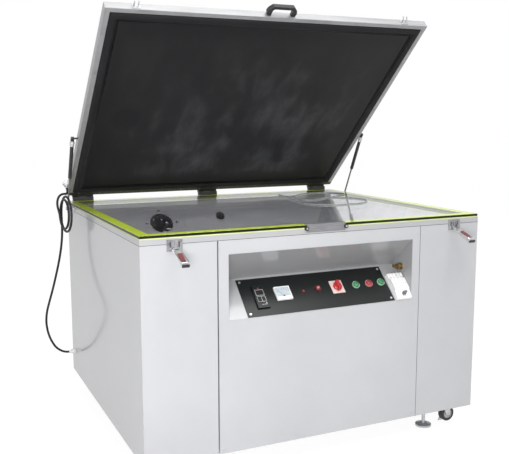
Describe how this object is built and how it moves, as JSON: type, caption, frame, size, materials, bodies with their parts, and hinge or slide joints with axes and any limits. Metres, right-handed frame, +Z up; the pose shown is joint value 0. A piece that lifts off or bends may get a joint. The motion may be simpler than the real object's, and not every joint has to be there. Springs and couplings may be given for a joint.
{
  "type": "screen printing exposure unit",
  "caption": "Screen printing exposure unit with a glass bed, a hinged vacuum lid with a rubber blanket, a sloped control bay and levelling feet.",
  "frame": {"origin": "on the floor, at the middle of the outline's box", "axes": "+Z up, +X across the front to the right as seen from the front, +Y from the front to the lid hinges"},
  "size_m": [1.5721, 1.3256, 1.7015],
  "materials": {
    "cabinet_paint": "satin",
    "frame_paint": "satin",
    "aluminium": "satin",
    "zinc": "satin",
    "steel": "satin",
    "chrome": "polished",
    "black_rubber": "matt",
    "wheel_rubber": "matt",
    "black_plastic": "matt",
    "white_plastic": "gloss",
    "grey_plastic": "matt",
    "red_plastic": "gloss",
    "green_plastic": "gloss",
    "cord_plastic": "gloss",
    "glass": "clear",
    "yellow_seal": "matt",
    "brass": "worn",
    "reflector": "polished",
    "pump_paint": "painted"
  },
  "bodies": {
    "cabinet": {"chassis": "frame_paint", "top_rim": "cabinet_paint", "side_panel_left": "cabinet_paint", "side_panel_right": "cabinet_paint", "rear_panel": "cabinet_paint", "front_panel": "cabinet_paint", "control_recess": "cabinet_paint", "glass_plate": "glass", "glass_gasket": "yellow_seal", "glass_guard": "steel", "light_chamber": "reflector", "lamp": "glass", "fan_frame": "black_plastic", "cable_grommets": "black_rubber", "vacuum_pump": "pump_paint", "lamp_ballast": "steel", "control_plate": "black_plastic", "timer": "black_plastic", "panel_meter": "white_plastic", "pilot_lamps": "red_plastic", "switch_plate": "white_plastic", "breaker_body": "white_plastic", "valve_body": "brass", "caster_mounts": "zinc", "leveling_feet": "zinc", "latch_bases": "zinc", "hinge_brackets": "zinc", "strut_brackets": "zinc", "hose_fitting": "white_plastic", "hose_run": "black_plastic", "hose_coil": "black_plastic", "bleed_cord": "cord_plastic"},
    "lid": {"lid_frame": "aluminium", "clamp_strips": "aluminium", "blanket": "black_rubber", "lid_handle": "black_plastic", "lid_catches": "zinc", "lid_fitting": "zinc", "hinge_leaves": "zinc"},
    "fan_impeller": {"fan_impeller": "black_plastic"},
    "switch_knob": {"switch_knob": "red_plastic"},
    "button_start": {"button_start": "green_plastic"},
    "button_stop": {"button_stop": "red_plastic"},
    "button_vacuum": {"button_vacuum": "green_plastic"},
    "breaker_handle": {"breaker_handle": "grey_plastic"},
    "valve_handle": {"valve_handle": "brass"},
    "caster_fork_left": {"caster_fork_left": "zinc"},
    "caster_fork_right": {"caster_fork_right": "zinc"},
    "caster_wheel_front_left": {"caster_wheel_front_left": "wheel_rubber"},
    "caster_wheel_front_right": {"caster_wheel_front_right": "wheel_rubber"},
    "caster_wheel_rear_left": {"caster_wheel_rear_left": "wheel_rubber"},
    "caster_wheel_rear_right": {"caster_wheel_rear_right": "wheel_rubber"},
    "latch_lever_left": {"latch_lever_left": "zinc"},
    "latch_lever_right": {"latch_lever_right": "zinc"},
    "latch_bail_left": {"latch_bail_left": "chrome"},
    "latch_bail_right": {"latch_bail_right": "chrome"},
    "strut_rod_left": {"strut_rod_left": "chrome"},
    "strut_rod_right": {"strut_rod_right": "chrome"},
    "strut_tube_left": {"strut_tube_left": "grey_plastic"},
    "strut_tube_right": {"strut_tube_right": "grey_plastic"}
  },
  "joints": [
    {"name": "lid", "type": "hinge", "parent": "cabinet", "child": "lid", "pos_m": [0, 0.65184, 0.907], "axis": [1, 0, 0], "range_deg": [0, 42.6], "deforming": ["hose_coil", "hose_run"]},
    {"name": "fan_spin", "type": "hinge", "parent": "cabinet", "child": "fan_impeller", "pos_m": [-0.29, 0.50699, 0.75832], "axis": [0, 0.7071, -0.7071], "continuous": true},
    {"name": "switch_turn", "type": "hinge", "parent": "cabinet", "child": "switch_knob", "pos_m": [0.087, -0.49069, 0.63329], "axis": [0, -0.6837, 0.7297], "range_deg": [-60, 60]},
    {"name": "press_start", "type": "slide", "parent": "cabinet", "child": "button_start", "axis": [0, -0.6837, 0.7297], "range_m": [-0.003, 0], "stiffness_N_per_m": 600},
    {"name": "press_stop", "type": "slide", "parent": "cabinet", "child": "button_stop", "axis": [0, -0.6837, 0.7297], "range_m": [-0.003, 0], "stiffness_N_per_m": 600},
    {"name": "press_vacuum", "type": "slide", "parent": "cabinet", "child": "button_vacuum", "axis": [0, -0.6837, 0.7297], "range_m": [-0.003, 0], "stiffness_N_per_m": 600},
    {"name": "breaker_throw", "type": "hinge", "parent": "cabinet", "child": "breaker_handle", "pos_m": [0.353, -0.54177, 0.58543], "axis": [1, 0, 0], "range_deg": [-22, 22]},
    {"name": "valve_turn", "type": "hinge", "parent": "cabinet", "child": "valve_handle", "pos_m": [0.361, -0.47516, 0.681], "axis": [1, 0, 0], "range_deg": [0, 90]},
    {"name": "fork_left", "type": "hinge", "parent": "cabinet", "child": "caster_fork_left", "pos_m": [-0.608, -0.48216, 0.07], "axis": [0, 0, 1], "continuous": true},
    {"name": "wheel_front_left", "type": "hinge", "parent": "caster_fork_left", "child": "caster_wheel_front_left", "pos_m": [-0.628, -0.48216, 0.035], "axis": [0, 1, 0], "continuous": true},
    {"name": "wheel_rear_left", "type": "hinge", "parent": "cabinet", "child": "caster_wheel_rear_left", "pos_m": [-0.628, 0.56184, 0.035], "axis": [1, 0, 0], "continuous": true},
    {"name": "lever_left", "type": "hinge", "parent": "cabinet", "child": "latch_lever_left", "pos_m": [-0.58, -0.56016, 0.835], "axis": [1, 0, 0], "range_deg": [-40, 60]},
    {"name": "bail_left", "type": "hinge", "parent": "latch_lever_left", "child": "latch_bail_left", "pos_m": [-0.58, -0.57115, 0.8302], "axis": [1, 0, 0], "range_deg": [-90, 0]},
    {"name": "strut_swing_left", "type": "hinge", "parent": "cabinet", "child": "strut_rod_left", "pos_m": [-0.722, 0.51384, 0.862], "axis": [1, 0, 0], "range_deg": [0, 53.9]},
    {"name": "strut_slide_left", "type": "slide", "parent": "strut_rod_left", "child": "strut_tube_left", "axis": [0, 0.4439, -0.8961], "range_m": [0, 0.08654]},
    {"name": "fork_right", "type": "hinge", "parent": "cabinet", "child": "caster_fork_right", "pos_m": [0.608, -0.48216, 0.07], "axis": [0, 0, 1], "continuous": true},
    {"name": "wheel_front_right", "type": "hinge", "parent": "caster_fork_right", "child": "caster_wheel_front_right", "pos_m": [0.628, -0.48216, 0.035], "axis": [0, 1, 0], "continuous": true},
    {"name": "wheel_rear_right", "type": "hinge", "parent": "cabinet", "child": "caster_wheel_rear_right", "pos_m": [0.628, 0.56184, 0.035], "axis": [1, 0, 0], "continuous": true},
    {"name": "lever_right", "type": "hinge", "parent": "cabinet", "child": "latch_lever_right", "pos_m": [0.58, -0.56016, 0.835], "axis": [1, 0, 0], "range_deg": [-40, 60]},
    {"name": "bail_right", "type": "hinge", "parent": "latch_lever_right", "child": "latch_bail_right", "pos_m": [0.58, -0.57115, 0.8302], "axis": [1, 0, 0], "range_deg": [-90, 0]},
    {"name": "strut_swing_right", "type": "hinge", "parent": "cabinet", "child": "strut_rod_right", "pos_m": [0.722, 0.51384, 0.862], "axis": [1, 0, 0], "range_deg": [0, 53.9]},
    {"name": "strut_slide_right", "type": "slide", "parent": "strut_rod_right", "child": "strut_tube_right", "axis": [0, 0.4439, -0.8961], "range_m": [0, 0.08654]}
  ],
  "couplings": [
    {"joint": "strut_swing_left", "follows": "lid", "ratio": 1.2652},
    {"joint": "strut_slide_left", "follows": "lid", "m_per_rad": 0.1164},
    {"joint": "strut_swing_right", "follows": "lid", "ratio": 1.2652},
    {"joint": "strut_slide_right", "follows": "lid", "m_per_rad": 0.1164}
  ]
}
